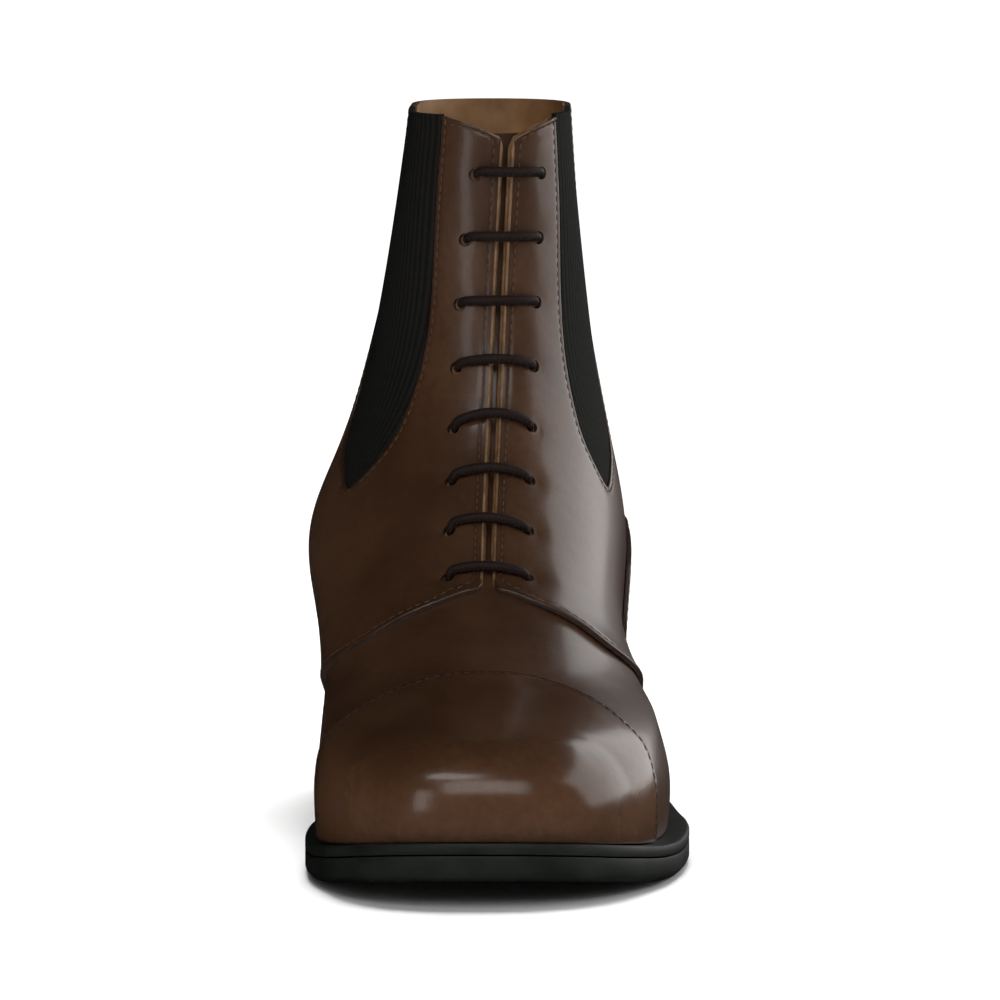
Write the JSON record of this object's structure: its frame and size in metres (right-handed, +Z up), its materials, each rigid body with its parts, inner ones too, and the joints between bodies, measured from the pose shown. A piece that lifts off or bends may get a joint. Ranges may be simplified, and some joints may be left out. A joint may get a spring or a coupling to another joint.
{
  "type": "paddock boot",
  "caption": "Brown leather paddock boot for the left foot, laced front, elastic side gores, toe cap, welted rubber sole and low block heel, standing empty.",
  "frame": {"origin": "middle of the flat heel tread, on the floor", "axes": "+X to the outer side of the left foot, +Y from the toe towards the heel, +Z up"},
  "size_m": [0.1045, 0.2756, 0.1974],
  "materials": {
    "brown_leather": "semi-gloss smooth-grained dark brown leather",
    "lining_leather": "matt tan lining leather",
    "elastic": "near-black ribbed elastic webbing",
    "sole_rubber": "dark grey-green rubber, satin",
    "lace_cord": "dark brown round waxed lace"
  },
  "bodies": {
    "root": {"outsole": "sole_rubber", "welt": "sole_rubber", "heel": "sole_rubber", "insole": "lining_leather", "upper": "brown_leather", "toe_cap": "brown_leather", "heel_counter": "brown_leather", "tongue": "brown_leather", "gore_inner": "elastic", "gore_outer": "elastic", "lace_bar_1": "lace_cord", "lace_bar_2": "lace_cord", "lace_bar_3": "lace_cord", "lace_bar_4": "lace_cord", "lace_bar_5": "lace_cord", "lace_bar_6": "lace_cord", "lace_bar_7": "lace_cord", "lace_bar_8": "lace_cord"}
  },
  "joints": []
}
